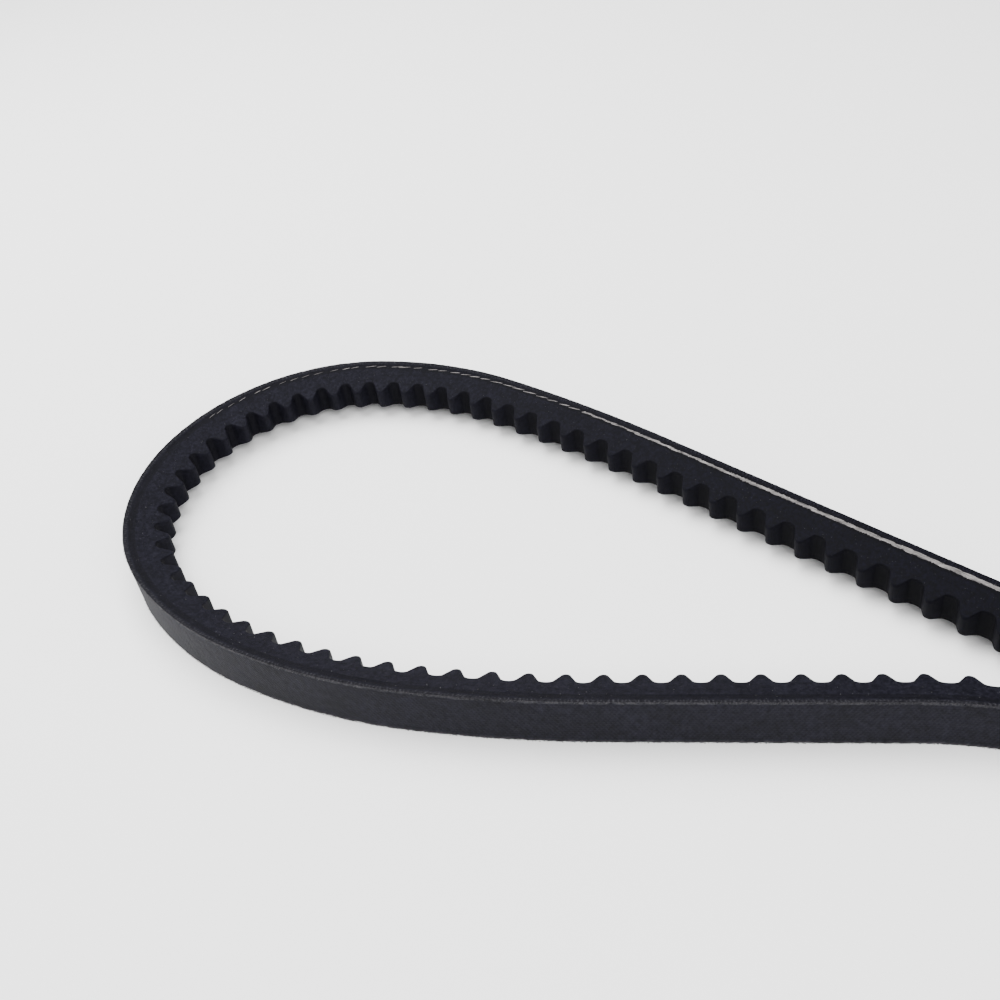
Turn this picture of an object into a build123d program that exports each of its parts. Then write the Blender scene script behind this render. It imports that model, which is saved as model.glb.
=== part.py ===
"""Raw-edge cogged V-belt, 10 mm x 8 mm section, 900 mm outside length.

The belt lies on one flank, so its width runs along +Z and its loop lies in the XY plane.
The loop is a long dog-bone: two round lobes joined by a pinched neck on the X axis.  The
half loop below is laid out once along the tension cord line and repeated turned by half a
turn about Z, so the origin is the middle of the neck on the floor.

Depth is measured from the flat back of the belt towards its cogs.
"""

import os
from collections import namedtuple
from math import cos, pi, radians, sin, sqrt, tan

from build123d import *

# Section of the belt
top_width = 10.0
belt_height = 8.0
flank_angle = 20.0
outside_length = 900.0

# Layers, each given by the depth at which it ends
outer_fabric_end = 0.35
inner_fabric_end = 0.70
overcord_end = 0.95
gum_end = 2.10
undercord_end = 3.60

# Tension cord, wound side by side across the belt
cord_depth = 1.5
cord_diameter = 0.9
cord_turns = 7
lowest_turn = 1.96
cut_end_cover = 1.04
upper_cut_stretches = 7
overcut = 0.4

# Cogs
cog_count = 144
cog_tip_radius = 0.9
cog_tip_half_width = 0.75
cog_foot_half_width = 1.75
cog_foot_depth = 6.0
gullet_roundness = 0.63
first_cog_share = 0.11

# Lie of the belt: distance between the two cord lines in the neck, then the bends of one
# lobe as (radius, degrees) in running order; the belt opens out, turns back and closes up
neck_width = 16.0
opening_bend = (75.0, 26.5)
near_straight = 48.0
near_bends = ((235.0, 7.5), (112.0, 17.0), (69.0, 22.0), (41.0, 48.0), (38.0, 89.0))
far_bends = ((70.0, 26.0), (330.0, 7.0))
closing_radius = 80.0
closing_turn = 10.0

# Values that follow from the ones above
cord_length = outside_length - 2 * pi * cord_depth
cog_pitch = cord_length / cog_count
turn_spacing = (top_width - 2 * lowest_turn) / (cord_turns - 1)
cord_drift = turn_spacing / cord_length
flank_slope = tan(radians(flank_angle))

Stretch = namedtuple("Stretch", "x y heading bend length")
Point = namedtuple("Point", "x y heading")


def advance(point, bend, length):
    """Point reached after a stretch; bend is the signed curvature, zero on a straight."""
    if bend == 0:
        x = point.x + length * cos(point.heading)
        y = point.y + length * sin(point.heading)
        return Point(x, y, point.heading)
    heading = point.heading + bend * length
    x = point.x + (sin(heading) - sin(point.heading)) / bend
    y = point.y - (cos(heading) - cos(point.heading)) / bend
    return Point(x, y, heading)


def lay_out(start, steps):
    """Stretches that follow one another from a start point."""
    stretches = []
    point = start
    for bend, length in steps:
        stretches.append(Stretch(*point, bend, length))
        point = advance(point, bend, length)
    return stretches, point


def lobe_steps(far_straight):
    """One lobe as (curvature, length) steps, with the far straight still to be chosen."""
    steps = [(1 / opening_bend[0], opening_bend[0] * radians(opening_bend[1]))]
    steps.append((0, near_straight))
    for radius, turn in near_bends + far_bends:
        steps.append((-1 / radius, radius * radians(turn)))
    steps.append((0, far_straight))
    steps.append((1 / closing_radius, closing_radius * radians(closing_turn)))
    return steps


def half_loop():
    """Lobe whose far straight brings it back to the neck, then the neck's straight."""
    start = Point(0, -neck_width / 2, pi)
    lowest = lay_out(start, lobe_steps(0))[1]
    unit_rise = lay_out(start, lobe_steps(1))[1].y - lowest.y
    steps = lobe_steps((neck_width / 2 - lowest.y) / unit_rise)
    span = lay_out(start, steps)[1].x
    neck_straight = cord_length / 2 - sum(length for bend, length in steps)
    before_lobe = (neck_straight + span) / 2
    lobe, end = lay_out(Point(-before_lobe, -neck_width / 2, pi), steps)
    return lobe + [Stretch(*end, 0, neck_straight)], before_lobe


half, before_lobe = half_loop()
other_half = [Stretch(-s.x, -s.y, s.heading + pi, s.bend, s.length) for s in half]

# The winding starts where the far bends of the first lobe begin
winding_start = 2 + len(near_bends)
route = half[winding_start:] + other_half + half[:winding_start]
# Stretches along which the flank has cut into the cord, after and before the winding
upper_cut = (half + other_half)[winding_start:winding_start + upper_cut_stretches]
lower_cut = half[:winding_start]


def station(distance):
    """Point on the cord line at a distance from the middle of the neck."""
    left = (distance - before_lobe) % cord_length
    for stretch in half + other_half:
        if left <= stretch.length:
            return advance(Point(stretch.x, stretch.y, stretch.heading), stretch.bend, left)
        left -= stretch.length
    return station(before_lobe)


def cross_plane(stretch, height=0.0):
    """Plane across the belt: x runs in depth from the cord line, y runs up."""
    inward = (sin(stretch.heading), -cos(stretch.heading), 0)
    along = (-cos(stretch.heading), -sin(stretch.heading), 0)
    return Plane(origin=(stretch.x, stretch.y, height), x_dir=inward, z_dir=along)


def cord_path(stretches, height=0.0):
    """Level wire along the cord line over some stretches."""
    pieces = []
    for stretch in stretches:
        start = Point(stretch.x, stretch.y, stretch.heading)
        middle = advance(start, stretch.bend, stretch.length / 2)
        end = advance(start, stretch.bend, stretch.length)
        with BuildLine() as piece:
            if stretch.bend == 0:
                Line((start.x, start.y, height), (end.x, end.y, height))
            else:
                ThreePointArc(
                    (start.x, start.y, height),
                    (middle.x, middle.y, height),
                    (end.x, end.y, height),
                )
        pieces.append(piece.edge())
    return Wire(pieces)


def layer(depth_from, depth_to):
    """One layer of the tapered section, swept round the whole loop."""
    with BuildPart() as built:
        with BuildSketch(cross_plane(route[0])):
            with BuildLine():
                Polyline(
                    (depth_from - cord_depth, depth_from * flank_slope),
                    (depth_to - cord_depth, depth_to * flank_slope),
                    (depth_to - cord_depth, top_width - depth_to * flank_slope),
                    (depth_from - cord_depth, top_width - depth_from * flank_slope),
                    close=True,
                )
            make_face()
        sweep(path=cord_path(route))
    return built.part


def winding_turn(number):
    """One turn of the winding, buried in the gum."""
    height = lowest_turn + turn_spacing * number
    with BuildPart() as built:
        with BuildSketch(cross_plane(route[0], height)):
            Circle(cord_diameter / 2)
        sweep(path=cord_path(route, height))
    return built.part


def cut_end(stretches, side, beyond=0.0):
    """Cord sliced flat by one flank, a little deeper on each stretch away from the winding.

    Side is 1 at the upper flank and -1 at the lower; beyond pushes the flat past the flank.
    """
    radius = cord_diameter / 2
    outward = Vector(sin(radians(flank_angle)), side * cos(radians(flank_angle)))
    along = Vector(outward.Y, -outward.X)
    travelled = 0
    with BuildPart() as built:
        for stretch in stretches:
            cover = cut_end_cover - cord_drift * (travelled + stretch.length / 2)
            height = top_width - cover if side > 0 else cover
            reach = (cover - cord_depth * flank_slope) * cos(radians(flank_angle))
            half_flat = sqrt(radius ** 2 - reach ** 2)
            first = outward * reach + along * half_flat
            final = outward * reach - along * half_flat
            with BuildSketch(cross_plane(stretch, height)):
                with BuildLine():
                    ThreePointArc(first, outward * -radius, final)
                    if beyond:
                        Polyline(final, final + outward * beyond, first + outward * beyond, first)
                    else:
                        Line(final, first)
                make_face()
            sweep(path=cord_path([stretch], height))
            travelled += stretch.length
    return built.part


def belt_point(place, ahead, depth):
    """Point near a cog, from its distance ahead along the belt and its depth."""
    inward = depth - cord_depth
    x = place.x + ahead * cos(place.heading) + inward * sin(place.heading)
    y = place.y + ahead * sin(place.heading) - inward * cos(place.heading)
    return x, y


def cog_line():
    """Closed outline of all the cogs and the round gullets between them."""
    tip_drop = cog_tip_radius - sqrt(cog_tip_radius ** 2 - cog_tip_half_width ** 2)
    tip_side_depth = belt_height - tip_drop
    side_run = cog_foot_half_width - cog_tip_half_width
    side_fall = tip_side_depth - cog_foot_depth
    control = cog_foot_half_width + gullet_roundness * side_run / side_fall
    control_depth = cog_foot_depth - gullet_roundness
    places = [station((number + first_cog_share) * cog_pitch) for number in range(cog_count)]
    with BuildLine() as outline:
        for place, following in zip(places, places[1:] + places[:1]):
            back_foot = belt_point(place, -cog_foot_half_width, cog_foot_depth)
            back_side = belt_point(place, -cog_tip_half_width, tip_side_depth)
            front_side = belt_point(place, cog_tip_half_width, tip_side_depth)
            front_foot = belt_point(place, cog_foot_half_width, cog_foot_depth)
            Line(back_foot, back_side)
            ThreePointArc(back_side, belt_point(place, 0, belt_height), front_side)
            Line(front_side, front_foot)
            Bezier(
                front_foot,
                belt_point(place, control, control_depth),
                belt_point(following, -control, control_depth),
                belt_point(following, -cog_foot_half_width, cog_foot_depth),
            )
    return outline.line


turns = [winding_turn(number) for number in range(cord_turns)]
upper_end = cut_end(upper_cut, 1)
lower_end = cut_end(list(reversed(lower_cut)), -1)

with BuildPart() as back_fabric_outer_ply:
    add(layer(0, outer_fabric_end))

with BuildPart() as back_fabric_inner_ply:
    add(layer(outer_fabric_end, inner_fabric_end))

with BuildPart() as overcord_rubber:
    add(layer(inner_fabric_end, overcord_end))

with BuildPart() as adhesion_gum:
    add(layer(overcord_end, gum_end))
    add(cut_end(upper_cut, 1, overcut), mode=Mode.SUBTRACT)
    add(cut_end(list(reversed(lower_cut)), -1, overcut), mode=Mode.SUBTRACT)
    for turn in turns:
        add(turn, mode=Mode.SUBTRACT)

with BuildPart() as undercord_rubber_sheet:
    add(layer(gum_end, undercord_end))

with BuildPart() as cogged_compression_rubber:
    add(layer(undercord_end, belt_height))
    with BuildSketch():
        with BuildLine():
            add(cog_line())
        make_face()
    extrude(amount=top_width, mode=Mode.SUBTRACT)

pieces = {
    "back_fabric_outer_ply": back_fabric_outer_ply.part,
    "back_fabric_inner_ply": back_fabric_inner_ply.part,
    "overcord_rubber": overcord_rubber.part,
    "adhesion_gum": adhesion_gum.part,
    "undercord_rubber_sheet": undercord_rubber_sheet.part,
    "cogged_compression_rubber": cogged_compression_rubber.part,
    "tension_cord_upper_cut_end": upper_end,
    "tension_cord_lower_cut_end": lower_end,
}
for number, turn in enumerate(turns, start=1):
    pieces[f"tension_cord_turn_{number}"] = turn

os.makedirs("parts", exist_ok=True)
for name, piece in pieces.items():
    piece.label = name
    export_step(piece, f"parts/{name}.step")
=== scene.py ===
"""Looks of a raw-edge cogged V-belt: cloth back, ground flanks, moulded cogs and sliced cord.

Lengths are in millimetres in the part's own frame and become metres when a mesh is made.
"along" is the distance round the belt's cord line from the middle of the neck, "depth" is
measured in from the back, and "height" up from the floor.
"""

import math

import bpy
import numpy as np
from mathutils import Matrix, Vector


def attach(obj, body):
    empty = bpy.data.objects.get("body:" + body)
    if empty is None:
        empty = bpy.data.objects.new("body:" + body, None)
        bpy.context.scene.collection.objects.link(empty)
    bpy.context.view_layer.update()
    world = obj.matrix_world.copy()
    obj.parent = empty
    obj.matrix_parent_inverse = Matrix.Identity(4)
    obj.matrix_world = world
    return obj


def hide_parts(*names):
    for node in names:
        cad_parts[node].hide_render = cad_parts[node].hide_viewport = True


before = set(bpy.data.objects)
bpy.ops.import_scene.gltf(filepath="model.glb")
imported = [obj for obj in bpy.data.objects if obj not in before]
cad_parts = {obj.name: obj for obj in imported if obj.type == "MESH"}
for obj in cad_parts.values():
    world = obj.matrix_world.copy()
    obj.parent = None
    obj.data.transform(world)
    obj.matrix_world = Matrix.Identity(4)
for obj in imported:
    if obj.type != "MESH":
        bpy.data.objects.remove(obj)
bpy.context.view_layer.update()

MM = 0.001

# Section of the belt
TOP_WIDTH = 10.0
BELT_HEIGHT = 8.0
FLANK_ANGLE = math.radians(20)
FLANK_SLOPE = math.tan(FLANK_ANGLE)
OUTER_PLY_END = 0.35
INNER_PLY_END = 0.70
OVERCORD_END = 0.95
GUM_END = 2.10
SHEET_END = 3.60
CORD_DEPTH = 1.5

# Cogs
COG_COUNT = 144
FIRST_COG_SHARE = 0.11
TIP_RADIUS = 0.9
TIP_HALF_WIDTH = 0.75
FOOT_HALF_WIDTH = 1.75
FOOT_DEPTH = 6.0
GULLET_ROUNDNESS = 0.63
GULLET_FLOOR = 5.5
GULLET_EDGE_RADIUS = 0.28
TIP_EDGE_RADIUS = 0.40

# Lie of the belt: radius and degrees of each bend of one lobe, from the neck outwards
NECK_WIDTH = 16.0
OPENING_BEND = (75.0, 26.5)
NEAR_STRAIGHT = 48.0
NEAR_BENDS = ((235.0, 7.5), (112.0, 17.0), (69.0, 22.0), (41.0, 48.0), (38.0, 89.0))
FAR_BENDS = ((70.0, 26.0), (330.0, 7.0))
CLOSING_BEND = (80.0, 10.0)
OUTSIDE_LENGTH = 900
LENGTH = OUTSIDE_LENGTH - 2 * math.pi * CORD_DEPTH
PITCH = LENGTH / COG_COUNT

# The upper flank lays the cord open along this many stretches, from the first far bend on
UPPER_CUT_STRETCHES = 7

# Cloth
THREAD_PITCH = 0.62
BIAS = math.radians(35)


# ---------------------------------------------------------------- lie of the belt
def advance(x, y, heading, bend, length):
    """The far end of an arc or, where bend is 0, of a straight."""
    if bend == 0:
        return x + length * math.cos(heading), y + length * math.sin(heading), heading
    turned = heading + bend * length
    return (
        x + (math.sin(turned) - math.sin(heading)) / bend,
        y - (math.cos(turned) - math.cos(heading)) / bend,
        turned,
    )


def arc(radius, degrees, turn):
    return turn / radius, radius * math.radians(degrees)


def lobe_steps(far_straight):
    steps = [arc(*OPENING_BEND, 1), (0, NEAR_STRAIGHT)]
    steps += [arc(*bend, -1) for bend in NEAR_BENDS + FAR_BENDS]
    return steps + [(0, far_straight), arc(*CLOSING_BEND, 1)]


def lay_out(spot, steps):
    """Each step as x, y, heading, bend and length, and the spot where they end."""
    stretches = []
    for bend, length in steps:
        stretches.append((*spot, bend, length))
        spot = advance(*spot, bend, length)
    return stretches, spot


def whole_loop():
    """The stretches of both lobes, and how far the first one starts from the neck's middle.

    The far straight is as long as it takes to bring the lobe back to the neck's other side.
    """
    start = (0, -NECK_WIDTH / 2, math.pi)
    lowest = lay_out(start, lobe_steps(0))[1][1]
    unit_rise = lay_out(start, lobe_steps(1))[1][1] - lowest
    steps = lobe_steps((NECK_WIDTH / 2 - lowest) / unit_rise)
    span = lay_out(start, steps)[1][0]
    neck_straight = LENGTH / 2 - sum(length for bend, length in steps)
    before = (neck_straight + span) / 2
    half, _ = lay_out((-before, -NECK_WIDTH / 2, math.pi), steps + [(0, neck_straight)])
    other = [(-x, -y, heading + math.pi, bend, length) for x, y, heading, bend, length in half]
    return half + other, before


STRETCHES, BEFORE_LOBE = whole_loop()
STARTS = np.cumsum([0] + [stretch[4] for stretch in STRETCHES])
FIRST_FAR_BEND = 2 + len(NEAR_BENDS)
CUT_START = BEFORE_LOBE + STARTS[FIRST_FAR_BEND]
CUT_END = BEFORE_LOBE + STARTS[FIRST_FAR_BEND + UPPER_CUT_STRETCHES]


def stations(along):
    """Cord line x, y and heading at each distance along the belt."""
    along = np.mod(np.asarray(along, float) - BEFORE_LOBE, LENGTH)
    x, y, heading = (np.zeros_like(along) for _ in range(3))
    for (x0, y0, h0, bend, length), start in zip(STRETCHES, STARTS):
        here = (along >= start) & (along <= start + length + 1e-9)
        run = along[here] - start
        turned = h0 + bend * run
        if bend == 0:
            x[here] = x0 + run * math.cos(h0)
            y[here] = y0 + run * math.sin(h0)
        else:
            x[here] = x0 + (np.sin(turned) - math.sin(h0)) / bend
            y[here] = y0 - (np.cos(turned) - math.cos(h0)) / bend
        heading[here] = turned
    return x, y, heading


def place(along, depth, height, ahead=0.0):
    """Points in space; ahead is a step along the tangent, as the cogs' flat sides need."""
    along, depth, height, ahead = np.broadcast_arrays(along, depth, height, ahead)
    x, y, heading = stations(along)
    inward = depth - CORD_DEPTH
    return np.stack([
        x + ahead * np.cos(heading) + inward * np.sin(heading),
        y + ahead * np.sin(heading) - inward * np.cos(heading),
        height,
    ], axis=-1)


def upper_flank(depth):
    return TOP_WIDTH - depth * FLANK_SLOPE


def lower_flank(depth):
    return depth * FLANK_SLOPE


def directions(along, side):
    """Unit vectors out of a flank, along the belt and out of its back."""
    heading = stations(along)[2]
    across = np.stack([np.sin(heading), -np.cos(heading), 0 * heading], axis=-1)
    upright = np.stack([0 * heading, 0 * heading, side + 0 * heading], axis=-1)
    outward = across * math.sin(FLANK_ANGLE) + upright * math.cos(FLANK_ANGLE)
    running = np.stack([np.cos(heading), np.sin(heading), 0 * heading], axis=-1)
    return outward, running, -across


def patches(along, other, size, seed):
    """Smooth noise from -1 to 1 with cells of one size, which closes up round the belt."""
    cells = max(4, int(round(LENGTH / size)))
    rows = 64
    grid = np.random.default_rng(seed).uniform(-1, 1, (cells, rows))
    u = np.mod(along, LENGTH) / LENGTH * cells
    v = np.mod(other / size, rows)
    column, row = np.floor(u).astype(int), np.floor(v).astype(int)
    u, v = u - column, v - row
    u, v = u * u * (3 - 2 * u), v * v * (3 - 2 * v)
    column, row = column % cells, row % rows
    next_column, next_row = (column + 1) % cells, (row + 1) % rows
    near = grid[column, row] * (1 - u) + grid[next_column, row] * u
    far = grid[column, next_row] * (1 - u) + grid[next_column, next_row] * u
    return near * (1 - v) + far * v


# ---------------------------------------------------------------- meshes
def make_mesh(name, points, faces):
    mesh = bpy.data.meshes.new(name)
    points = np.asarray(points, np.float32).reshape(-1, 3) * MM
    sides = faces.shape[1]
    mesh.vertices.add(len(points))
    mesh.vertices.foreach_set("co", points.ravel())
    mesh.loops.add(faces.size)
    mesh.loops.foreach_set("vertex_index", faces.astype(np.int32).ravel())
    mesh.polygons.add(len(faces))
    mesh.polygons.foreach_set("loop_start", np.arange(0, faces.size, sides, dtype=np.int32))
    mesh.update(calc_edges=True)
    return mesh


def make_piece(name, points, faces, lay, materials, marks=None):
    """One riding object; "lay" carries along, height and depth to the materials."""
    mesh = make_mesh(name, points, faces)
    attribute = mesh.attributes.new("lay", "FLOAT_VECTOR", "POINT")
    attribute.data.foreach_set("vector", np.asarray(lay, np.float32).ravel())
    mesh.polygons.foreach_set("use_smooth", np.ones(len(faces), bool))
    mesh.set_sharp_from_angle(angle=math.radians(55))
    for material in materials:
        mesh.materials.append(material)
    if marks is not None:
        mesh.polygons.foreach_set("material_index", marks.astype(np.int32).ravel())
    piece = bpy.data.objects.new(name, mesh)
    bpy.context.scene.collection.objects.link(piece)
    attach(piece, "root")
    return piece


def grid_faces(rings, around, closed=True):
    """Quads of a tube whose rings are closed, and which may close round the loop."""
    ring = np.arange(rings if closed else rings - 1)[:, None]
    corner = np.arange(around)[None, :]
    after, beside = (ring + 1) % rings, (corner + 1) % around
    here = ring * around
    there = after * around
    quads = [here + corner, there + corner, there + beside, here + beside]
    return np.stack(np.broadcast_arrays(*quads), axis=-1).reshape(-1, 4)


BACK, UPPER, FRONT, LOWER = range(4)


def side_points(start, end, steps, side):
    share = np.linspace(0, 1, steps, endpoint=False)[:, None]
    rows = np.asarray(start) * (1 - share) + np.asarray(end) * share
    return np.column_stack([rows, np.full(steps, side)])


def layer_outline(start, end, back_steps=1, flank_steps=1):
    """Closed outline of one layer: depth, height and side of each point."""
    corners = [
        (start, lower_flank(start)),
        (start, upper_flank(start)),
        (end, upper_flank(end)),
        (end, lower_flank(end)),
    ]
    steps = (back_steps, flank_steps, 1, flank_steps)
    turns = zip(corners, corners[1:] + corners[:1], steps, range(4))
    return np.vstack([side_points(*turn) for turn in turns])


def layer(name, outline, ring_gap, relief, materials, marks=None):
    """A layer swept round the loop, its points moved a little by relief."""
    rings = int(round(LENGTH / ring_gap))
    along = np.arange(rings)[:, None] * (LENGTH / rings) + np.zeros(len(outline))
    depth, height, side = (outline[None, :, k] + 0 * along for k in range(3))
    depth, height = relief(along, depth, height, side)
    faces = grid_faces(rings, len(outline))
    if marks is not None:
        marks = np.tile(marks, rings)
    lay = np.stack([along, height, depth], axis=-1)
    return make_piece(name, place(along, depth, height), faces, lay, materials, marks)


STEM_POINTS = 7


def fibres(name, roots, aim, lengths, widths, lay, material, seed, curl=0.3):
    """Short tapered threads: a three-sided stem of two lengths that bends to a point."""
    local = np.random.default_rng(seed)
    count = len(roots)
    aim = aim / np.linalg.norm(aim, axis=1)[:, None]
    side = np.cross(aim, local.normal(size=(count, 3)))
    side /= np.linalg.norm(side, axis=1)[:, None]
    other = np.cross(aim, side)
    sway = side * (curl * local.uniform(-1, 1, count) * lengths)[:, None]
    points = np.zeros((count, STEM_POINTS, 3))
    for k in range(3):
        angle = 2 * math.pi * k / 3
        spoke = (side * math.cos(angle) + other * math.sin(angle)) * widths[:, None] / 2
        points[:, k] = roots + spoke
        points[:, 3 + k] = roots + aim * lengths[:, None] * 0.55 + sway * 0.35 + spoke * 0.8
    points[:, 6] = roots + aim * lengths[:, None] + sway
    points[:, :, 2] = np.maximum(points[:, :, 2], 0)
    pattern = [(2, 1, 0)]
    for k in range(3):
        after = (k + 1) % 3
        pattern += [(k, after, 3 + after), (k, 3 + after, 3 + k), (3 + k, 3 + after, 6)]
    first_points = np.arange(count)[:, None, None] * STEM_POINTS
    faces = (first_points + np.array(pattern)[None]).reshape(-1, 3)
    return make_piece(name, points, faces, np.repeat(lay, STEM_POINTS, axis=0), [material])


# ---------------------------------------------------------------- material nodes
def new_material(name, specular, sheen=0.0):
    material = bpy.data.materials.new(name)
    material.use_nodes = True
    shader = material.node_tree.nodes["Principled BSDF"]
    shader.inputs["Specular IOR Level"].default_value = specular
    shader.inputs["Sheen Weight"].default_value = sheen
    shader.inputs["Sheen Roughness"].default_value = 0.5
    return material, material.node_tree, shader


def plug(tree, socket, value):
    """Link a socket, or set it where the value is a plain number or colour."""
    if isinstance(value, (float, int)):
        socket.default_value = value
    elif isinstance(value, tuple):
        socket.default_value = (*value, 1) if socket.type == "RGBA" else value
    else:
        tree.links.new(value, socket)


def lay_vector(tree, stretch=(1, 1, 1), lean=0.0, carried=False):
    """Millimetres along, up and in from the back; carried CAD nodes use their own place."""
    if carried:
        source = tree.nodes.new("ShaderNodeTexCoord").outputs["Object"]
        stretch = tuple(value / MM for value in stretch)
    else:
        attribute = tree.nodes.new("ShaderNodeAttribute")
        attribute.attribute_name = "lay"
        source = attribute.outputs["Vector"]
    mapping = tree.nodes.new("ShaderNodeMapping")
    plug(tree, mapping.inputs["Vector"], source)
    plug(tree, mapping.inputs["Scale"], stretch)
    plug(tree, mapping.inputs["Rotation"], (0.0, 0.0, lean))
    return mapping.outputs["Vector"]


def noise(tree, vector, scale, detail=3.0, roughness=0.6):
    made = tree.nodes.new("ShaderNodeTexNoise")
    plug(tree, made.inputs["Vector"], vector)
    plug(tree, made.inputs["Scale"], scale)
    plug(tree, made.inputs["Detail"], detail)
    plug(tree, made.inputs["Roughness"], roughness)
    return made.outputs["Fac"]


def waves(tree, vector, scale, distortion):
    made = tree.nodes.new("ShaderNodeTexWave")
    plug(tree, made.inputs["Vector"], vector)
    plug(tree, made.inputs["Scale"], scale)
    plug(tree, made.inputs["Distortion"], distortion)
    plug(tree, made.inputs["Detail"], 1.5)
    return made.outputs["Fac"]


def ramp(tree, value, low, high, low_colour, high_colour):
    made = tree.nodes.new("ShaderNodeValToRGB")
    stops = made.color_ramp.elements
    stops[0].position, stops[1].position = low, high
    stops[0].color, stops[1].color = (*low_colour, 1), (*high_colour, 1)
    plug(tree, made.inputs["Fac"], value)
    return made.outputs["Color"]


def grey(value):
    return (value, value, value)


def mask(tree, value, low, high):
    return ramp(tree, value, low, high, grey(0), grey(1))


def blend(tree, kind, share, first, second):
    made = tree.nodes.new("ShaderNodeMix")
    made.data_type = "RGBA"
    made.blend_type = kind
    plug(tree, made.inputs[0], share)
    plug(tree, made.inputs[6], first)
    plug(tree, made.inputs[7], second)
    return made.outputs[2]


def calculate(tree, operation, first, second):
    made = tree.nodes.new("ShaderNodeMath")
    made.operation = operation
    plug(tree, made.inputs[0], first)
    plug(tree, made.inputs[1], second)
    return made.outputs[0]


def lay_part(tree, axis):
    """One coordinate of the lay: X along, Y height or Z depth."""
    separate = tree.nodes.new("ShaderNodeSeparateXYZ")
    plug(tree, separate.inputs[0], lay_vector(tree))
    return separate.outputs[axis]


def edge_distance(tree):
    """Distance from the belt's middle height, as a share of half its width."""
    middle = calculate(tree, "SUBTRACT", lay_part(tree, "Y"), TOP_WIDTH / 2)
    return calculate(tree, "DIVIDE", calculate(tree, "ABSOLUTE", middle, 0.0), TOP_WIDTH / 2)


def set_roughness(tree, shader, pattern, centre, spread):
    swing = calculate(tree, "MULTIPLY", pattern, spread)
    plug(tree, shader.inputs["Roughness"], calculate(tree, "ADD", swing, centre - spread / 2))


def set_bump(tree, shader, height, strength, distance):
    made = tree.nodes.new("ShaderNodeBump")
    plug(tree, made.inputs["Strength"], strength)
    plug(tree, made.inputs["Distance"], distance)
    plug(tree, made.inputs["Height"], height)
    plug(tree, shader.inputs["Normal"], made.outputs["Normal"])


# ---------------------------------------------------------------- materials
# Linear colours of each surface's hollows and high spots, and of what shows on it
CLOTH_DARK = (0.0008, 0.0008, 0.0032)
CLOTH_LIGHT = (0.0112, 0.0107, 0.0184)
CLOTH_WORN = (0.042, 0.041, 0.046)
CUT_DARK = (0.0032, 0.0032, 0.0050)
CUT_LIGHT = (0.0120, 0.0118, 0.0150)
CUT_THREAD_END = (0.029, 0.028, 0.033)
FLANK_DARK = (0.0008, 0.0008, 0.0034)
FLANK_LIGHT = (0.0156, 0.0150, 0.0238)
GUM_DARK = (0.0009, 0.0009, 0.0030)
GUM_LIGHT = (0.0092, 0.0088, 0.0146)
FIBRE_END = (0.085, 0.085, 0.088)
COG_DARK = (0.0014, 0.0014, 0.0036)
COG_LIGHT = (0.0088, 0.0084, 0.0140)
# Tint of the painted shade over the stretch half way round the belt
FALLOFF_SHADE_TINT = (0.25, 0.25, 0.38)


def darken(tree, colour, pattern, low, high, darkest, share):
    """Multiply a colour by a grey that rises from darkest to 1 as the pattern passes low to high."""
    shade = ramp(tree, pattern, low, high, grey(darkest), grey(1))
    return blend(tree, "MULTIPLY", share, colour, shade)


def painted_falloff_shade(tree, colour):
    """Painted shade: darkens and blues the colour over the stretch half way round the belt, as if
    the light fell off there.
    """
    half_turn = calculate(tree, "MULTIPLY", lay_part(tree, "X"), math.pi / LENGTH)
    nearness = calculate(tree, "SINE", half_turn, 0)
    tint = ramp(tree, nearness, 0.80, 1.0, grey(0.95), FALLOFF_SHADE_TINT)
    return blend(tree, "MULTIPLY", 1.0, colour, tint)


def back_cloth():
    """Rubberised bias cloth: weave nearly filled, mottled, worn pale along its corners."""
    material, tree, shader = new_material("back_cloth", specular=0.07, sheen=0.055)
    warp = waves(tree, lay_vector(tree, lean=BIAS), scale=0.52, distortion=0.9)
    weft = waves(tree, lay_vector(tree, lean=-BIAS), scale=0.52, distortion=0.9)
    weave = calculate(tree, "MAXIMUM", warp, weft)
    grain = noise(tree, lay_vector(tree, (1, 0.7, 1)), scale=1.0, detail=6.0, roughness=0.78)
    blotch = noise(tree, lay_vector(tree, (0.5, 0.5, 1)), scale=0.30)
    colour = ramp(tree, grain, 0.34, 0.68, CLOTH_DARK, CLOTH_LIGHT)
    colour = darken(tree, colour, weave, 0.2, 0.9, darkest=0.6, share=0.2)
    colour = darken(tree, colour, blotch, 0.3, 0.7, darkest=0.45, share=0.8)
    uneven = noise(tree, lay_vector(tree), scale=0.9, detail=4.0, roughness=0.75)
    frayed = calculate(tree, "MULTIPLY", uneven, 0.16)
    worn = mask(tree, calculate(tree, "ADD", edge_distance(tree), frayed), 0.93, 1.0)
    scuffs = noise(tree, lay_vector(tree), scale=1.0, detail=4.0, roughness=0.75)
    worn = blend(tree, "MULTIPLY", 1.0, worn, mask(tree, scuffs, 0.36, 0.64))
    colour = blend(tree, "MIX", worn, colour, CLOTH_WORN)
    plug(tree, shader.inputs["Base Color"], colour)
    set_roughness(tree, shader, grain, centre=0.84, spread=0.2)
    height = calculate(tree, "ADD", calculate(tree, "MULTIPLY", weave, 0.25), grain)
    set_bump(tree, shader, height, strength=0.75, distance=0.11 * MM)
    return material


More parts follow.
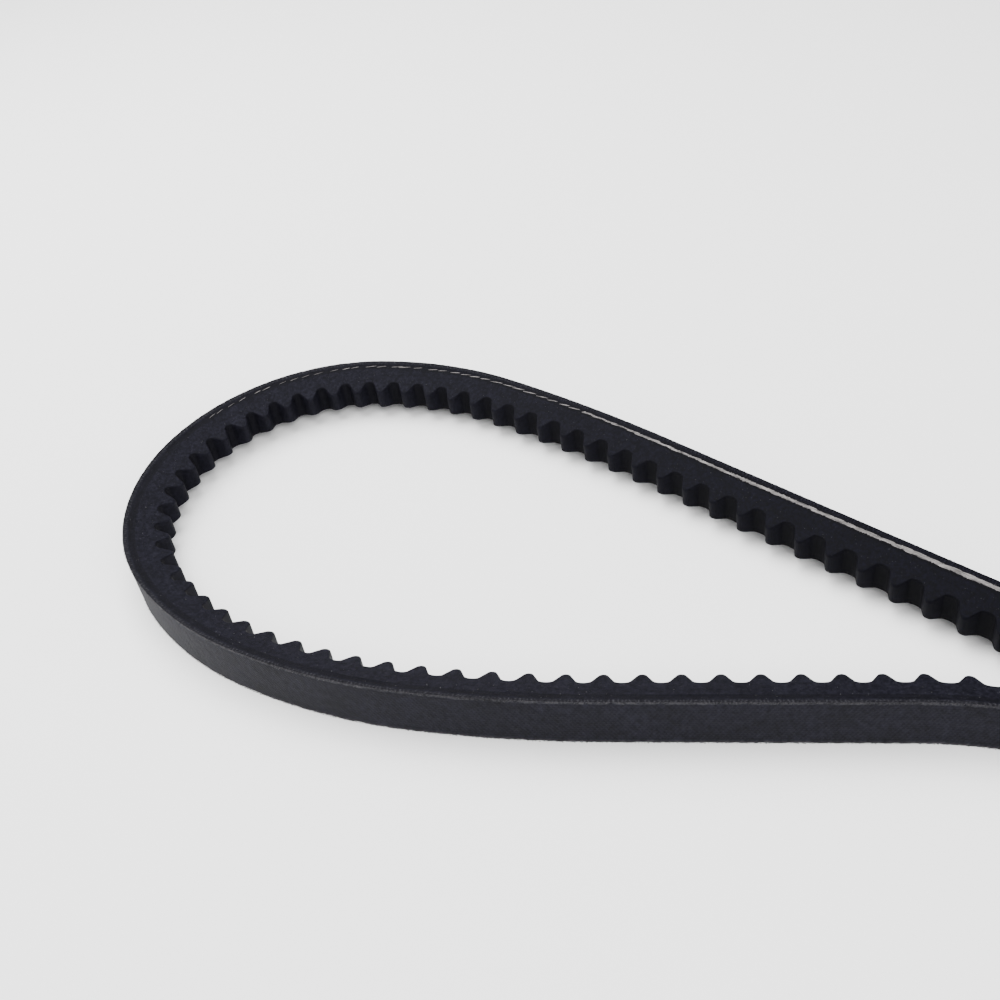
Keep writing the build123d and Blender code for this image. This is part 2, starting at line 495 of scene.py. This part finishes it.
def cut_cloth():
    """The plies' ground edge: dark, with the grey ends of the threads in rows."""
    material, tree, shader = new_material("cut_cloth", specular=0.07)
    threads = waves(tree, lay_vector(tree, (1, 1, 3)), scale=0.5, distortion=7.0)
    grain = noise(tree, lay_vector(tree), scale=3.0, detail=4.0, roughness=0.7)
    colour = ramp(tree, grain, 0.35, 0.72, CUT_DARK, CUT_LIGHT)
    ends = blend(tree, "MULTIPLY", 1.0, mask(tree, threads, 0.3, 0.9), mask(tree, grain, 0.42, 0.62))
    colour = blend(tree, "MIX", ends, colour, CUT_THREAD_END)
    # painted shade half way round the belt, standing in for light falloff
    colour = painted_falloff_shade(tree, colour)
    plug(tree, shader.inputs["Base Color"], colour)
    set_roughness(tree, shader, grain, centre=0.88, spread=0.15)
    set_bump(tree, shader, grain, strength=0.6, distance=0.05 * MM)
    return material


def fibre_dots(tree, share):
    """Small dots, some patches thick with them, where cut fibres end in the surface."""
    cells = tree.nodes.new("ShaderNodeTexVoronoi")
    plug(tree, cells.inputs["Vector"], lay_vector(tree))
    plug(tree, cells.inputs["Scale"], 1.9)
    dots = ramp(tree, cells.outputs["Distance"], 0.04, 0.15, grey(1), grey(0))
    kept = mask(tree, noise(tree, lay_vector(tree), scale=1.0, detail=2.0), 0.46, 0.62)
    dots = blend(tree, "MULTIPLY", 1.0, dots, kept)
    return blend(tree, "MULTIPLY", 1.0, dots, grey(share))


def ground_rubber(name, dark, light, dot_share, streaks):
    """Flank rubber as the grinding wheel leaves it: dull, grained, with cut fibre ends."""
    material, tree, shader = new_material(name, specular=0.075)
    grain = noise(tree, lay_vector(tree), scale=1.5, detail=6.0, roughness=0.8)
    blotch = noise(tree, lay_vector(tree, (0.5, 1, 1)), scale=0.35, roughness=0.55)
    lines = noise(tree, lay_vector(tree, (0.05, 1.0, 2.4)), scale=2.4, detail=4.0)
    colour = ramp(tree, grain, 0.42, 0.74, dark, light)
    colour = darken(tree, colour, blotch, 0.3, 0.7, darkest=0.62, share=0.7)
    colour = darken(tree, colour, lines, 0.42, 0.58, darkest=0.3, share=streaks)
    # painted shade half way round the belt, standing in for light falloff
    colour = painted_falloff_shade(tree, colour)
    colour = blend(tree, "MIX", fibre_dots(tree, dot_share), colour, FIBRE_END)
    plug(tree, shader.inputs["Base Color"], colour)
    set_roughness(tree, shader, grain, centre=0.74, spread=0.4)
    set_bump(tree, shader, grain, strength=0.9, distance=0.10 * MM)
    return material


def moulded_rubber():
    """The cogs' moulded face, with painted shade that darkens it down in the gullets."""
    material, tree, shader = new_material("moulded_rubber", specular=0.07)
    grain = noise(tree, lay_vector(tree), scale=1.3, detail=6.0, roughness=0.78)
    blotch = noise(tree, lay_vector(tree), scale=0.5, roughness=0.55)
    tip_share = calculate(tree, "DIVIDE", lay_part(tree, "Z"), BELT_HEIGHT)
    colour = ramp(tree, grain, 0.34, 0.70, COG_DARK, COG_LIGHT)
    colour = darken(tree, colour, blotch, 0.3, 0.7, darkest=0.65, share=0.6)
    # painted shade: darker towards the gullet floors, standing in for occlusion between the cogs
    colour = darken(tree, colour, tip_share, 0.70, 0.84, darkest=0.55, share=1.0)
    # painted shade half way round the belt, standing in for light falloff
    colour = painted_falloff_shade(tree, colour)
    plug(tree, shader.inputs["Base Color"], colour)
    set_roughness(tree, shader, grain, centre=0.70, spread=0.25)
    set_bump(tree, shader, grain, strength=0.5, distance=0.06 * MM)
    return material


def yarn(name, dark, light, carried=False):
    """Polyester yarn: fibres running along it, with rubber dust in the hollows."""
    material, tree, shader = new_material(name, specular=0.15, sheen=0.1)
    along_it = lay_vector(tree, stretch=(0.35, 5, 5), lean=0.06, carried=carried)
    strands = noise(tree, along_it, scale=1.0, detail=4.0, roughness=0.65)
    fuzz = noise(tree, lay_vector(tree, carried=carried), scale=4.5, detail=4.0, roughness=0.7)
    soiled = noise(tree, lay_vector(tree, carried=carried), scale=0.55)
    colour = ramp(tree, strands, 0.34, 0.60, dark, light)
    colour = darken(tree, colour, fuzz, 0.32, 0.58, darkest=0.6, share=0.6)
    colour = darken(tree, colour, soiled, 0.36, 0.60, darkest=0.55, share=1.0)
    plug(tree, shader.inputs["Base Color"], colour)
    set_roughness(tree, shader, fuzz, centre=0.82, spread=0.2)
    set_bump(tree, shader, strands, strength=0.5, distance=0.05 * MM)
    return material


def thread(name, dark, light):
    """Loose thread or lint, paler in some stretches of the belt than in others."""
    material, tree, shader = new_material(name, specular=0.1, sheen=0.12)
    worn = noise(tree, lay_vector(tree), scale=0.11, detail=2.0)
    fine = noise(tree, lay_vector(tree), scale=2.1, roughness=0.7)
    colour = ramp(tree, fine, 0.36, 0.68, dark, light)
    colour = darken(tree, colour, worn, 0.34, 0.66, darkest=0.35, share=1.0)
    plug(tree, shader.inputs["Base Color"], colour)
    set_roughness(tree, shader, fine, centre=0.88, spread=0.15)
    return material


BACK_CLOTH = back_cloth()
CUT_CLOTH = cut_cloth()
FLANK = ground_rubber("flank_rubber", FLANK_DARK, FLANK_LIGHT, dot_share=0.5, streaks=0.12)
SHEET = ground_rubber("sheet_rubber", FLANK_DARK, FLANK_LIGHT, dot_share=0.5, streaks=0.18)
GUM = ground_rubber("gum_rubber", GUM_DARK, GUM_LIGHT, dot_share=0.4, streaks=0.5)
COG = moulded_rubber()
CORD_YARN = yarn("cord_yarn", (0.060, 0.056, 0.056), (0.236, 0.221, 0.218))
BURIED_YARN = yarn("buried_yarn", (0.30, 0.285, 0.28), (0.56, 0.535, 0.52), carried=True)
LINT = thread("fibre_lint", (0.04, 0.04, 0.04), (0.16, 0.16, 0.16))
FRAY = thread("frayed_thread", (0.010, 0.010, 0.013), (0.046, 0.044, 0.049))


# ---------------------------------------------------------------- cloth plies and flank layers
CLOTH_RING_GAP = 0.24
FLANK_RING_GAP = 0.3


def cloth_relief(along, depth, height, side):
    """Weave on the back, corners worn round, and cut edges left ragged."""
    warp = np.cos(2 * math.pi * (along * math.cos(BIAS) + height * math.sin(BIAS)) / THREAD_PITCH)
    weft = np.cos(2 * math.pi * (along * math.cos(BIAS) - height * math.sin(BIAS)) / THREAD_PITCH)
    lumps = patches(along, height, size=1.1, seed=3)
    lumps = lumps + 0.6 * patches(along, height, size=0.45, seed=4)
    to_corner = np.clip(np.minimum(height, TOP_WIDTH - height), 0, None)
    wear = 0.13 * np.exp(-to_corner / 0.16) * (1 + 0.5 * patches(along, height, size=0.6, seed=5))
    rise = 0.009 * np.maximum(warp, weft) + 0.016 * lumps
    depth = np.where(side == BACK, depth + 0.014 + wear - rise, depth)
    ragged = 0.07 * np.abs(patches(along, 0 * height, size=0.8, seed=6))
    ragged = ragged + 0.03 * patches(along, 0 * height, size=0.35, seed=8)
    ragged = np.clip(ragged, 0, None) * np.exp(-to_corner / 0.25)
    return depth, np.where(height > TOP_WIDTH / 2, height - ragged, height + ragged)


def ground_away(along, depth):
    """How far grinding has roughened a flank below its true line."""
    return 0.012 * (1 + patches(along, depth * 2, size=0.5, seed=22))


def flank_relief(recess=0.0):
    """A ground flank, set back in places where its layer is softer and wears more."""
    def relief(along, depth, height, side):
        soft = patches(along, 0 * depth, size=9.0, seed=13)
        worn = recess * np.clip(0.4 + soft, 0, 1)
        inward = np.where(side == UPPER, -1, np.where(side == LOWER, 1, 0))
        return depth, height + inward * (ground_away(along, depth) + worn)
    return relief


def flank_layer(name, start, end, steps, relief, material, node):
    outline = layer_outline(start, end, flank_steps=steps)
    piece = layer(name, outline, FLANK_RING_GAP, relief, [material])
    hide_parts(node)


cloth_outline = layer_outline(0, OUTER_PLY_END, back_steps=34, flank_steps=2)
cloth = layer("back_cloth", cloth_outline, CLOTH_RING_GAP, cloth_relief,
              [BACK_CLOTH, CUT_CLOTH], cloth_outline[:, 2] != BACK)
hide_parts("back_fabric_outer_ply")
flank_layer("inner_ply_edge", OUTER_PLY_END, INNER_PLY_END, 2, flank_relief(),
            CUT_CLOTH, "back_fabric_inner_ply")
flank_layer("overcord_edge", INNER_PLY_END, OVERCORD_END, 1, flank_relief(recess=0.02),
            SHEET, "overcord_rubber")
flank_layer("gum_edge", OVERCORD_END, GUM_END, 5, flank_relief(recess=0.05),
            GUM, "adhesion_gum")
flank_layer("sheet_edge", GUM_END, SHEET_END, 5, flank_relief(),
            SHEET, "undercord_rubber_sheet")


# ---------------------------------------------------------------- cogged rubber
COG_FLANK_ROWS = 7
COG_EDGE_ROWS = 4
COG_FACE_ROWS = 12


def cog_profile():
    """One cog's side, tip and side: distance ahead of its centre, and depth."""
    lean = math.asin(TIP_HALF_WIDTH / TIP_RADIUS)
    side_depth = BELT_HEIGHT - TIP_RADIUS * (1 - math.cos(lean))
    share = np.linspace(0, 1, 6)
    fall_ahead = TIP_HALF_WIDTH + (FOOT_HALF_WIDTH - TIP_HALF_WIDTH) * share
    fall_depth = side_depth + (FOOT_DEPTH - side_depth) * share
    angle = np.linspace(-lean, lean, 11)[1:-1]
    ahead = np.concatenate([-fall_ahead[::-1], TIP_RADIUS * np.sin(angle), fall_ahead])
    tip_depth = BELT_HEIGHT - TIP_RADIUS * (1 - np.cos(angle))
    depth = np.concatenate([fall_depth[::-1], tip_depth, fall_depth])
    return ahead, depth


def gullet_controls():
    """Control points of the curve that joins one cog's foot to the next one's."""
    lean = math.asin(TIP_HALF_WIDTH / TIP_RADIUS)
    side_fall = BELT_HEIGHT - TIP_RADIUS * (1 - math.cos(lean)) - FOOT_DEPTH
    reach = GULLET_ROUNDNESS * (FOOT_HALF_WIDTH - TIP_HALF_WIDTH) / side_fall
    handle = FOOT_HALF_WIDTH + reach
    return (
        (FOOT_HALF_WIDTH, FOOT_DEPTH, 0),
        (handle, FOOT_DEPTH - GULLET_ROUNDNESS, 0),
        (-handle, FOOT_DEPTH - GULLET_ROUNDNESS, 1),
        (-FOOT_HALF_WIDTH, FOOT_DEPTH, 1),
    )


def cog_line():
    """The whole inner line round the loop: its points, and their distance along and depth."""
    centres = (np.arange(COG_COUNT)[:, None] + FIRST_COG_SHARE) * PITCH
    ahead, depth = cog_profile()
    cogs = place(centres, depth, 0.0, ahead)
    t = np.linspace(0, 1, 14)[1:-1]
    weights = ((1 - t) ** 3, 3 * (1 - t) ** 2 * t, 3 * (1 - t) * t ** 2, t ** 3)
    gullets, gullet_depth = 0, 0
    for weight, (step, level, later) in zip(weights, gullet_controls()):
        control = place(centres + later * PITCH, level, 0.0, step)
        gullets = gullets + weight[None, :, None] * control
        gullet_depth = gullet_depth + weight * level
    points = np.concatenate([cogs, gullets], axis=1).reshape(-1, 3)
    gap = PITCH - 2 * FOOT_HALF_WIDTH
    along = centres + np.concatenate([ahead, FOOT_HALF_WIDTH + gap * t])
    return points, along.ravel(), np.tile(np.concatenate([depth, gullet_depth]), COG_COUNT)


def cog_rings(depth):
    """Each ring's depths, heights and sides, from the upper flank over the face to the lower."""
    tip_share = (depth - GULLET_FLOOR) / (BELT_HEIGHT - GULLET_FLOOR)
    radius = GULLET_EDGE_RADIUS + (TIP_EDGE_RADIUS - GULLET_EDGE_RADIUS) * tip_share
    rows = []
    for share in np.linspace(0, 1, COG_FLANK_ROWS):
        level = SHEET_END + (depth - radius - SHEET_END) * share
        rows.append((level, upper_flank(level), UPPER))
    for angle in np.linspace(0, math.pi / 2, COG_EDGE_ROWS + 1)[1:]:
        level = depth - radius * (1 - math.sin(angle))
        rows.append((level, upper_flank(level) - radius * (1 - math.cos(angle)), FRONT))
    upper = list(rows)
    top = upper_flank(depth) - radius
    bottom = lower_flank(depth) + radius
    for share in np.linspace(0, 1, COG_FACE_ROWS + 2)[1:-1]:
        rows.append((depth, top + (bottom - top) * share, FRONT))
    for level, height, side in upper[::-1]:
        rows.append((level, TOP_WIDTH - height, LOWER if side == UPPER else FRONT))
    depths = np.stack([row[0] for row in rows], axis=1)
    heights = np.stack([row[1] for row in rows], axis=1)
    return depths, heights, np.array([row[2] for row in rows])


def cogged_rubber():
    inner, along, depth = cog_line()
    depths, heights, sides = cog_rings(depth)
    base = place(along, SHEET_END, 0.0)
    share = ((depths - SHEET_END) / (depth - SHEET_END)[:, None])[:, :, None]
    points = base[:, None, :] * (1 - share) + inner[:, None, :] * share
    along = along[:, None] + np.zeros_like(depths)
    grain = patches(along, heights + depths, size=0.7, seed=22)
    uneven = patches(along, heights * 0.7 + depths, size=2.6, seed=23)
    uneven = uneven + patches(along, 0 * depths, size=6.0, seed=21)
    moulded = sides == FRONT
    sunk = np.where(moulded, np.clip(0.012 * grain + 0.020 * uneven, None, 0), 0)
    back_out = directions(along.ravel(), 1)[2].reshape(*along.shape, 3)
    points = points - back_out * sunk[:, :, None]
    inward = np.where(sides == UPPER, -1, np.where(sides == LOWER, 1, 0))
    heights = heights + inward * ground_away(along, depths)
    points[:, :, 2] = heights
    marks = np.tile(moulded & np.roll(moulded, -1), len(depth))
    lay = np.stack([along, heights, depths], axis=-1)
    return make_piece("cogged_rubber", points, grid_faces(len(depth), len(sides)), lay,
                      [FLANK, COG], marks)


cogs = cogged_rubber()
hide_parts("cogged_compression_rubber")


# ---------------------------------------------------------------- cord laid open by the flank
# "run" is the distance along the belt from the first slice that shows
FIRST_SHOWS = CUT_START - 40
CLOSES_UP = 92
FULL_WIDTH_AT = 200
RUNS_OUT = CUT_END - FIRST_SHOWS
RUN_OUT_LENGTH = 70
STRAND_PITCH = 2.9
THIN_BAND = 0.16
WIDE_BAND = 0.68

# The cord rides nearer the back by this much, from one run and over a length
CORD_RISE = 0.34
RISES_FROM = 120
RISES_OVER = 90

# Domes of cord: how far below the flank they close, and the points of one strand's lens
DOME_FOOT = -0.15
LENS_STEPS = 15
LENS_ACROSS = 7


def run_out(run):
    """Falls to nothing over the last stretch, where the cord leaves the belt."""
    return np.sqrt(np.clip((RUNS_OUT - run) / RUN_OUT_LENGTH, 0, 1))


def cord_width(run):
    """Width of the band of cord that shows, once its strands have run together."""
    share = np.clip((run - CLOSES_UP) / (FULL_WIDTH_AT - CLOSES_UP), 0, 1)
    wavy = 0.07 * patches(run, 0 * run, size=1.3, seed=32)
    wavy = wavy + 0.06 * patches(run, 0 * run, size=4.0, seed=35)
    return (THIN_BAND + (WIDE_BAND - THIN_BAND) * share ** 0.8 + wavy) * run_out(run)


def cord_depth(run):
    """The cord rides a little nearer the back where most of it has been cut away."""
    share = np.clip((run - RISES_FROM) / RISES_OVER, 0, 1)
    return CORD_DEPTH - CORD_RISE * share * share * (3 - 2 * share)


def on_upper_flank(depth, lift):
    """Depth and height of points that stand lift out of the upper flank."""
    return depth + lift * math.sin(FLANK_ANGLE), upper_flank(depth) + lift * math.cos(FLANK_ANGLE)


def low_dome(along, depth, lift):
    """Tube whose rings rise to lift on the flank and close again below its surface."""
    upper_depth, upper_height = on_upper_flank(depth, lift)
    lower_depth, lower_height = on_upper_flank(depth[:, ::-1], DOME_FOOT)
    depths = np.concatenate([upper_depth, lower_depth], axis=1)
    heights = np.concatenate([upper_height, lower_height], axis=1)
    along = np.concatenate([along, along[:, ::-1]], axis=1)
    lay = np.stack([along, heights, depths], axis=-1)
    return place(along, depths, heights), lay


def cord_band():
    """The run-together strands, with torn edges where the wheel has dragged the filaments."""
    run = np.arange(CLOSES_UP, RUNS_OUT, 0.15)
    torn = np.random.default_rng(50).normal(0, 0.07, (len(run), 2))
    across = np.linspace(-1, 1, 11)[None, :]
    width = cord_width(run)[:, None]
    wander = 0.04 * patches(run, 0 * run, size=11.0, seed=33)[:, None]
    edge = np.where(across < 0, -torn[:, :1], torn[:, 1:]) * across ** 4 * run_out(run)[:, None]
    depth = cord_depth(run)[:, None] + wander + across * width / 2 + edge
    along = FIRST_SHOWS + run[:, None] + 0 * depth
    strand = np.cos(2 * math.pi * (run[:, None] / STRAND_PITCH - across * 0.5))
    lift = 0.05 * (1 - across ** 2) * (1 + 0.35 * strand)
    lift = lift + 0.012 * patches(along, depth * 4, size=0.35, seed=34)
    points, lay = low_dome(along, depth, lift - 0.01)
    return points, lay


def strand_slices():
    """Each strand of the twist breaks out once a turn, as a thin slanting lens."""
    local = np.random.default_rng(51)
    count = int(RUNS_OUT / STRAND_PITCH)
    run = (np.arange(count) + local.uniform(-0.25, 0.25, count)) * STRAND_PITCH
    grown = np.clip(run / (FULL_WIDTH_AT - 30), 0, 1)
    length = (1.9 + 2.6 * grown) * local.uniform(0.75, 1.15, count)
    width = (0.095 + 0.46 * grown ** 2) * local.uniform(0.7, 1.3, count) * run_out(run)
    slant = 0.10 + 0.16 * grown
    step = np.linspace(-1, 1, LENS_STEPS)[None, :, None]
    across = np.linspace(-1, 1, LENS_ACROSS)[None, None, :]
    lens = np.sqrt(np.clip(1 - step ** 2, 0.0004, 1))
    along = FIRST_SHOWS + run[:, None, None] + step * length[:, None, None] / 2
    middle = cord_depth(run) + local.normal(0, 0.03, count)
    depth = (middle[:, None, None] - step * slant[:, None, None]
             + across * lens * width[:, None, None] / 2)
    lift = (0.03 + 0.04 * grown[:, None, None]) * lens * (1 - across ** 2) - 0.006
    rows = [values.reshape(-1, LENS_ACROSS) for values in (along + 0 * depth, depth, lift)]
    points, lay = low_dome(*rows)
    return points, lay, count


def sliced_cord():
    band, band_lay = cord_band()
    lenses, lens_lay, count = strand_slices()
    band_faces = grid_faces(len(band), band.shape[1], closed=False)
    around = lenses.shape[1]
    one = grid_faces(LENS_STEPS, around, closed=False)
    lens_faces = one[None] + np.arange(count)[:, None, None] * LENS_STEPS * around
    offset = band.shape[0] * band.shape[1]
    faces = np.concatenate([band_faces, lens_faces.reshape(-1, 4) + offset])
    points = np.concatenate([band.reshape(-1, 3), lenses.reshape(-1, 3)])
    lay = np.concatenate([band_lay.reshape(-1, 3), lens_lay.reshape(-1, 3)])
    return make_piece("sliced_cord", points, faces, lay, [CORD_YARN])


sliced = sliced_cord()
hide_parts("tension_cord_upper_cut_end")


# ---------------------------------------------------------------- loose fibres
FLOOR_CLEARANCE = 0.4


def flank_lint(count, seed):
    """Ends of the chopped fibres that load the rubber, standing out of both flanks."""
    local = np.random.default_rng(seed)
    along = local.uniform(0, LENGTH, count)
    depth = local.uniform(0.9, 5.5, count)
    side = local.choice([-1, 1], count)
    height = np.where(side > 0, upper_flank(depth), lower_flank(depth))
    outward = directions(along, side)[0]
    aim = outward * 0.5 + local.normal(size=(count, 3)) * 0.5
    lengths = local.uniform(0.08, 0.24, count)
    widths = local.uniform(0.04, 0.10, count)
    lay = np.stack([along, height, depth], axis=-1)
    roots = place(along, depth, height)
    clear = height > FLOOR_CLEARANCE
    return fibres("flank_lint", roots[clear], aim[clear], lengths[clear], widths[clear],
                  lay[clear], LINT, seed)


def corner_threads(name, side, count, thickness, reach, seed):
    """Cut thread ends in a row along a corner of the cloth, slanting over the belt's back."""
    local = np.random.default_rng(seed)
    along = (np.arange(count) + local.uniform(-0.4, 0.4, count)) * (LENGTH / count)
    depth = local.uniform(0.0, 0.10, count)
    in_from_corner = thickness * local.uniform(0.2, 0.8, count)
    height = (upper_flank(depth) if side > 0 else lower_flank(depth)) - side * in_from_corner
    outward, running, back = directions(along, side)
    lean = running * (math.tan(BIAS) + local.normal(0, 0.35, count))[:, None]
    aim = back * 0.22 + lean + outward * -0.55
    fuller = 1 + 0.4 * patches(along, 0 * along, size=12.0, seed=seed)
    lengths = reach * local.uniform(0.6, 1.3, count) * fuller
    widths = thickness * local.uniform(0.7, 1.3, count)
    lay = np.stack([along, height, depth], axis=-1)
    return fibres(name, place(along, depth, height), aim, lengths, widths, lay, FRAY, seed)


def cord_fuzz(count, seed):
    """Filaments that have pulled out of the sliced cord and lie on the flank."""
    local = np.random.default_rng(seed)
    run = local.uniform(CLOSES_UP, RUNS_OUT - 1, count)
    along = FIRST_SHOWS + run
    side = local.choice([-1, 1], count)
    depth = cord_depth(run) + side * cord_width(run) / 2 * local.uniform(0.7, 1.05, count)
    height = upper_flank(depth)
    outward, running, back = directions(along, 1)
    way = local.choice([-1, 1], (count, 1))
    aim = running * way + outward * 0.1 + back * local.normal(0, 0.3, (count, 1))
    lengths = local.uniform(0.12, 0.45, count)
    widths = local.uniform(0.03, 0.06, count)
    lay = np.stack([along, height, depth], axis=-1)
    return fibres("cord_fuzz", place(along, depth, height), aim, lengths, widths, lay,
                  CORD_YARN, seed)


THREAD_ENDS = int(round(LENGTH / THREAD_PITCH))

# Name, side, count, thickness, reach and seed of each row of threads
CORNER_ROWS = (
    ("upper_thread_ends", 1, THREAD_ENDS, 0.20, 0.42, 41),
    ("upper_corner_fuzz", 1, 9000, 0.07, 0.30, 42),
    ("lower_thread_ends", -1, THREAD_ENDS, 0.14, 0.24, 43),
    ("lower_corner_fuzz", -1, 3500, 0.05, 0.15, 44),
)

flank_lint(count=1000, seed=40)
for corner_row in CORNER_ROWS:
    corner_threads(*corner_row)
cord_fuzz(count=900, seed=45)

for name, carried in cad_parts.items():
    if name.startswith("tension_cord"):
        carried.data.materials.clear()
        carried.data.materials.append(BURIED_YARN)


# ---------------------------------------------------------------- floor, light and camera
def studio_floor(reach):
    mesh = bpy.data.meshes.new("studio_floor")
    corners = [(-reach, -reach, 0), (reach, -reach, 0), (reach, reach, 0), (-reach, reach, 0)]
    mesh.from_pydata(corners, [], [(0, 1, 2, 3)])
    material, _, shader = new_material("studio_floor", specular=0.1)
    shader.inputs["Base Color"].default_value = (0.94, 0.94, 0.94, 1)
    shader.inputs["Roughness"].default_value = 0.9
    mesh.materials.append(material)
    floor = bpy.data.objects.new("studio_floor", mesh)
    bpy.context.scene.collection.objects.link(floor)


def studio_world(strength):
    world = bpy.data.worlds.new("studio")
    world.use_nodes = True
    background = world.node_tree.nodes["Background"]
    background.inputs["Color"].default_value = (1, 1, 1, 1)
    background.inputs["Strength"].default_value = strength
    bpy.context.scene.world = world


def softbox(name, bearing, elevation, distance, size, power, target):
    """A square lamp aimed at the target; its bearing is anticlockwise from +X, in degrees."""
    bearing, elevation = math.radians(bearing), math.radians(elevation)
    level = distance * math.cos(elevation)
    rise = distance * math.sin(elevation)
    offset = Vector((level * math.cos(bearing), level * math.sin(bearing), rise))
    lamp = bpy.data.lights.new(name, "AREA")
    lamp.size = size
    lamp.energy = power
    holder = bpy.data.objects.new(name, lamp)
    holder.location = target + offset
    holder.rotation_euler = (-offset).to_track_quat("-Z", "Y").to_euler()
    bpy.context.scene.collection.objects.link(holder)


def photo_camera():
    """A 40 mm lens 24 cm from the left lobe, 37 degrees up, rolled a little to the right."""
    elevation = math.radians(37.11)
    roll = math.radians(-7.10)
    turn = math.radians(35.353)
    distance = 243.8
    aimed_at = Vector((-128.41, 29.61, 0))
    data = bpy.data.cameras.new("camera")
    data.sensor_width = 36.0
    data.lens = 40.417
    data.clip_start = 0.01
    data.shift_x = -0.0666
    data.shift_y = -0.0735
    camera = bpy.data.objects.new("camera", data)
    right = Vector((1, 0, 0))
    up = Vector((0, math.sin(elevation), math.cos(elevation)))
    back = Vector((0, -math.cos(elevation), math.sin(elevation)))
    about = Matrix.Rotation(turn, 3, "Z")
    axes = (
        about @ (right * math.cos(roll) + up * math.sin(roll)),
        about @ (up * math.cos(roll) - right * math.sin(roll)),
        about @ back,
    )
    where = (about @ back * distance + aimed_at) * MM
    camera.matrix_world = Matrix.Translation(where) @ Matrix(axes).transposed().to_4x4()
    bpy.context.scene.collection.objects.link(camera)
    bpy.context.scene.camera = camera


# Name, bearing and elevation in degrees, distance and size in metres, power in watts
SOFTBOXES = (
    ("front_softbox", -25, 42, 0.9, 0.6, 9.0),
    ("overhead_softbox", 165, 64, 0.62, 0.6, 10.2),
    ("left_softbox", -150, 25, 0.9, 0.5, 3.3),
)
LOBE_MIDDLE = Vector((-0.12, 0.0, 0.0))

studio_floor(reach=6.0)
studio_world(strength=0.75)
for lamp_settings in SOFTBOXES:
    softbox(*lamp_settings, LOBE_MIDDLE)
photo_camera()
